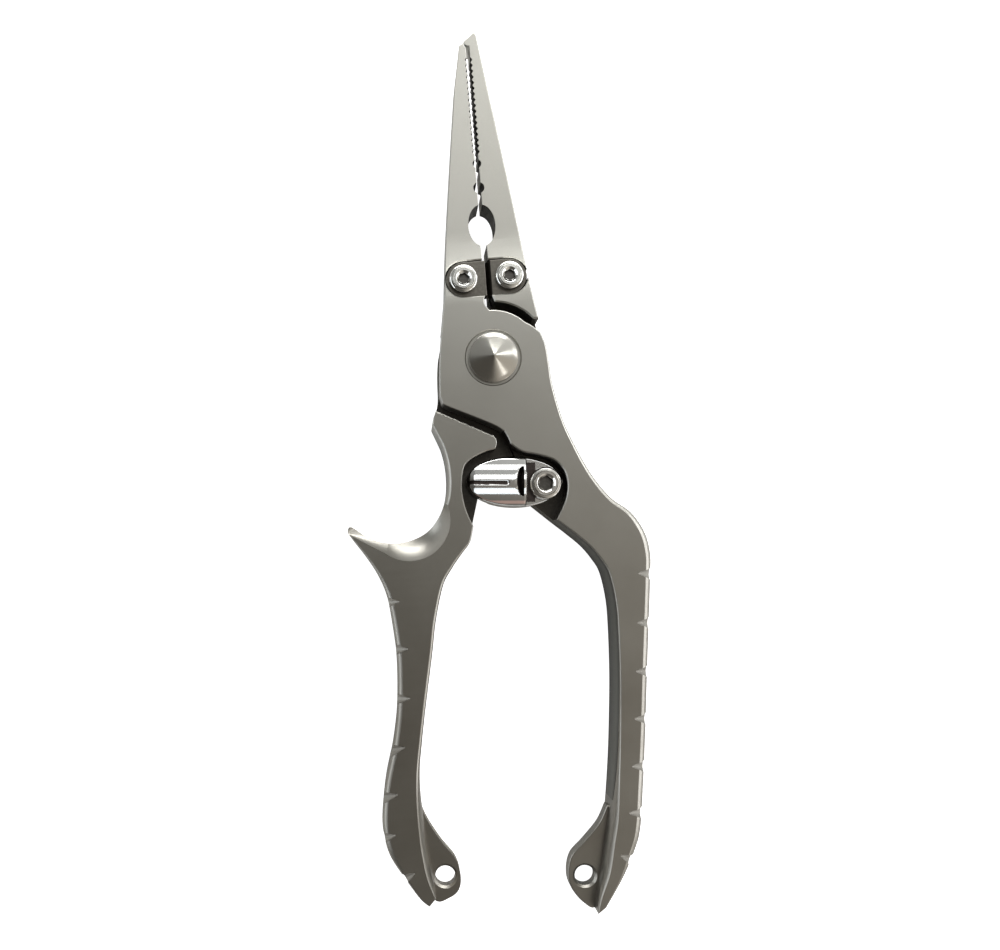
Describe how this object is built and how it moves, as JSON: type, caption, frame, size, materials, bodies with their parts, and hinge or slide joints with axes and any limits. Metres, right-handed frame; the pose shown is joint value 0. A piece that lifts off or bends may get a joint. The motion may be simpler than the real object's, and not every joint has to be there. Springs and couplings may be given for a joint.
{
  "type": "fishing pliers",
  "caption": "Long-nosed aluminium fishing pliers with a lap joint, bolted side cutters, a finger hook and a swinging latch across the handles.",
  "frame": {"origin": "pivot axis at the back face, on the end face of the pivot bolt", "axes": "+Y from the pivot towards the jaw tips in the closing plane X = 0, +Z along the pivot from the back face to the conical cap, +X towards the handle without the finger hook"},
  "size_m": [0.065, 0.1934, 0.0149],
  "materials": {
    "handle_metal": "fine bead-blasted, warm grey",
    "handle_metal_rear": "fine bead-blasted, warm grey",
    "turned_steel": "lathe-turned",
    "nut_steel": "machined",
    "bronze": "turned",
    "spring_wire": "drawn wire",
    "carbide": "ground, dark",
    "screw_steel": "polished",
    "latch_chrome": "polished"
  },
  "bodies": {
    "front": {"front_half": "handle_metal", "pivot_bolt": "turned_steel", "pivot_nut": "nut_steel", "front_washer": "nut_steel", "middle_washer": "bronze", "rear_washer": "nut_steel", "cutter_left": "carbide", "cutter_screw_left": "screw_steel", "latch_screw": "screw_steel", "latch_bush": "bronze", "latch_wave_washer": "nut_steel"},
    "rear": {"rear_half": "handle_metal_rear", "pivot_bush": "bronze", "opening_spring": "spring_wire", "cutter_right": "carbide", "cutter_screw_right": "screw_steel", "catch_pin": "nut_steel"},
    "latch": {"latch": "latch_chrome"}
  },
  "joints": [
    {"name": "jaw_pivot", "type": "hinge", "parent": "front", "child": "rear", "pos_m": [0, 0, 0.006], "axis": [0, 0, -1], "range_deg": [0, 28]},
    {"name": "latch_swing", "type": "hinge", "parent": "front", "child": "latch", "pos_m": [0.0094, -0.0278, 0.0076], "axis": [0, 0, 1], "range_deg": [0, 50]}
  ]
}
